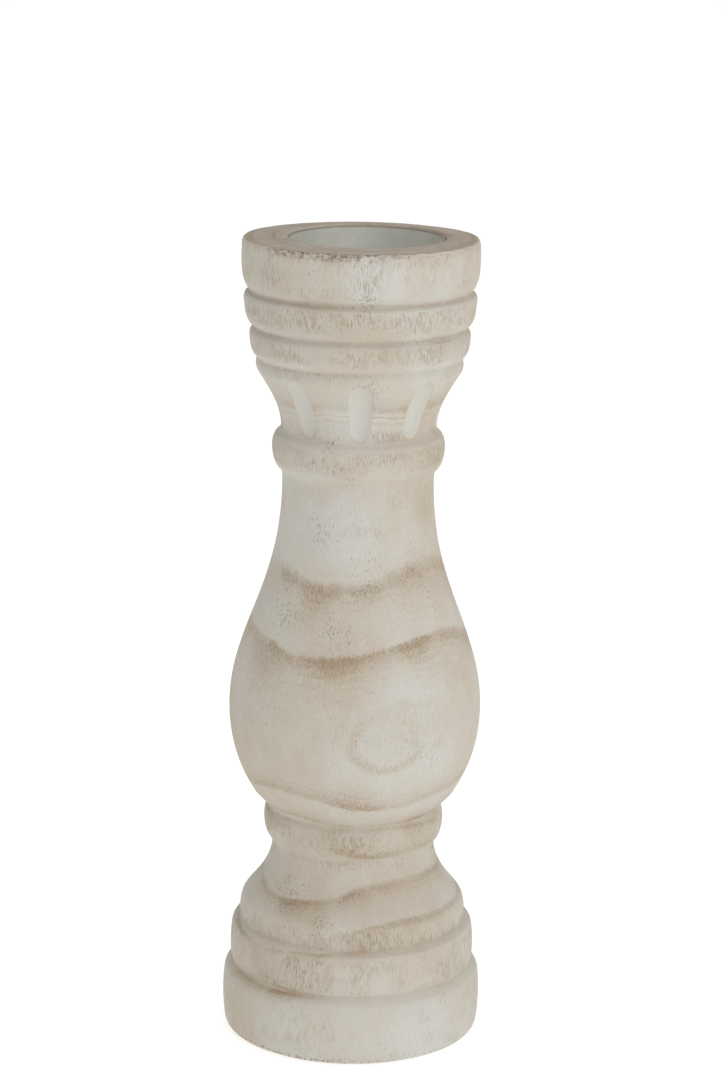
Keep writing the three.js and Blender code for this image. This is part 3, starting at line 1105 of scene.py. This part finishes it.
class DriveScrew(bpy.types.Operator):
    """Drive the countersunk screw through the cup's floor"""

    bl_idname = "candlestick.drive_screw"
    bl_label = "Cup screw"

    def execute(self, context):
        shape, look = context.scene.candlestick_shape, context.scene.candlestick_look
        middle = (CUP_LOW + CUP_HIGH) / 2
        values = {
            "Steps": 72,
            "Centre": (middle.x, middle.y, 0.0),
            "Pitch": shape.thread_pitch / MM,
            "Thread depth": shape.thread_depth,
            "Cross width": 1.0,
            "Cross depth": 1.3 * MM,
            "Material": screw_material(look),
        }
        screw = grown("countersunk_screw", screw_outline().mesh("screw_outline"), screw_tree(), values)
        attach(screw, "root")
        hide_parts("cup_screw")
        return {"FINISHED"}


class StickPads(bpy.types.Operator):
    """Stick the felt pads under the foot"""

    bl_idname = "candlestick.stick_pads"
    bl_label = "Felt pads"

    def execute(self, context):
        shape, look = context.scene.candlestick_shape, context.scene.candlestick_look
        low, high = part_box(PAD_NODES[0])
        middle = (low + high) / 2
        radius, thick = (high.y - low.y) / 2 / MM, high.z / MM
        soft = 0.35 * thick
        disc = (
            Outline(0.0, 0.0, 0.7)
            .line(radius - soft, 0.0)
            .round(radius, 0.0, radius, soft, 0.2)
            .line(radius, thick - soft, 0.2)
            .round(radius, thick, radius - soft, thick, 0.2)
            .line(0.0, thick)
        )
        values = {
            "Pads": len(PAD_NODES),
            "Circle radius": math.hypot(middle.x, middle.y),
            "Steps": 80,
            "Fuzz": shape.pad_fuzz,
            "Material": felt_material(look),
        }
        pads = grown("felt_pads", disc.mesh("pad_outline"), pad_tree(), values)
        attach(pads, "root")
        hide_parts(*PAD_NODES)
        return {"FINISHED"}


class SetStage(bpy.types.Operator):
    """Set the floor, the soft lights and the camera"""

    bl_idname = "candlestick.set_stage"
    bl_label = "Stage"

    def execute(self, context):
        stage, look = context.scene.candlestick_stage, context.scene.candlestick_look
        self.lay_floor(look)
        self.hang_light("key_light", (1.5, -1.3, 1.5), 1.6, stage.key_power)
        self.hang_light("front_light", (0.6, -1.9, 1.0), 1.5, stage.front_power)
        self.hang_light("top_light", (0.1, -0.2, 2.1), 1.4, stage.top_power)
        self.light_sky(context.scene, stage.sky)
        self.aim_camera(context.scene, stage)
        context.scene.view_settings.view_transform = "Standard"
        return {"FINISHED"}

    def lay_floor(self, look):
        half = 12.0
        mesh = bpy.data.meshes.new("floor")
        corners = [(-half, -half, 0.0), (half, -half, 0.0), (half, half, 0.0), (-half, half, 0.0)]
        mesh.from_pydata(corners, [], [(0, 1, 2, 3)])
        mesh.materials.append(floor_material(look))
        floor = bpy.data.objects.new("floor", mesh)
        bpy.context.scene.collection.objects.link(floor)
        floor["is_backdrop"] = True

    def hang_light(self, name, place, size, power):
        lamp = bpy.data.lights.new(name, "AREA")
        lamp.shape, lamp.size, lamp.energy = "DISK", size, power
        light = bpy.data.objects.new(name, lamp)
        light.location = place
        light.rotation_euler = (Vector((0, 0, 0.2)) - Vector(place)).to_track_quat("-Z", "Y").to_euler()
        bpy.context.scene.collection.objects.link(light)

    def light_sky(self, scene, strength):
        world = bpy.data.worlds.new("studio")
        world.use_nodes = True
        background = world.node_tree.nodes["Background"]
        background.inputs["Color"].default_value = (1.0, 1.0, 1.0, 1.0)
        background.inputs["Strength"].default_value = strength
        scene.world = world

    def aim_camera(self, scene, stage):
        lens = bpy.data.cameras.new("camera")
        lens.lens = stage.lens
        lens.clip_end = 100.0
        camera = bpy.data.objects.new("camera", lens)
        place = Matrix.Translation((stage.camera_aside, -stage.camera_back, stage.camera_height))
        tilt = Matrix.Rotation(math.pi / 2 - stage.camera_pitch, 4, "X")
        camera.matrix_world = place @ tilt @ Matrix.Rotation(stage.camera_roll, 4, "Z")
        scene.collection.objects.link(camera)
        scene.camera = camera


class CandlestickPanel(bpy.types.Panel):
    """Lists the pieces and their settings"""

    bl_idname = "VIEW3D_PT_candlestick"
    bl_label = "Candlestick"
    bl_space_type = "VIEW_3D"
    bl_region_type = "UI"
    bl_category = "Candlestick"

    def draw(self, context):
        for operator in OPERATORS:
            self.layout.operator(operator.bl_idname)
        for group in SETTINGS.values():
            settings = getattr(context.scene, group)
            box = self.layout.box()
            for name in settings.bl_rna.properties.keys():
                if name not in ("rna_type", "name"):
                    box.prop(settings, name)


SETTINGS = {
    CandlestickShape: "candlestick_shape",
    CandlestickLook: "candlestick_look",
    CandlestickStage: "candlestick_stage",
}
OPERATORS = (SetStage, TurnBody, SpinCup, DriveScrew, StickPads)


def register():
    for group, name in SETTINGS.items():
        bpy.utils.register_class(group)
        setattr(bpy.types.Scene, name, bpy.props.PointerProperty(type=group))
    for item in (*OPERATORS, CandlestickPanel):
        bpy.utils.register_class(item)


def unregister():
    for item in (CandlestickPanel, *reversed(OPERATORS)):
        bpy.utils.unregister_class(item)
    for group, name in SETTINGS.items():
        delattr(bpy.types.Scene, name)
        bpy.utils.unregister_class(group)


def write_sizes():
    """The CAD model's box and the visual model's box, gathered side by side as lists."""
    boxes = {"cad": CAD_BOX, "visual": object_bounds()}
    plain = {name: [list(corner) for corner in box] for name, box in boxes.items()}


def main():
    register()
    for operator in OPERATORS:
        group, name = operator.bl_idname.split(".")
        getattr(getattr(bpy.ops, group), name)()
    write_sizes()


if __name__ == "__main__":
    main()
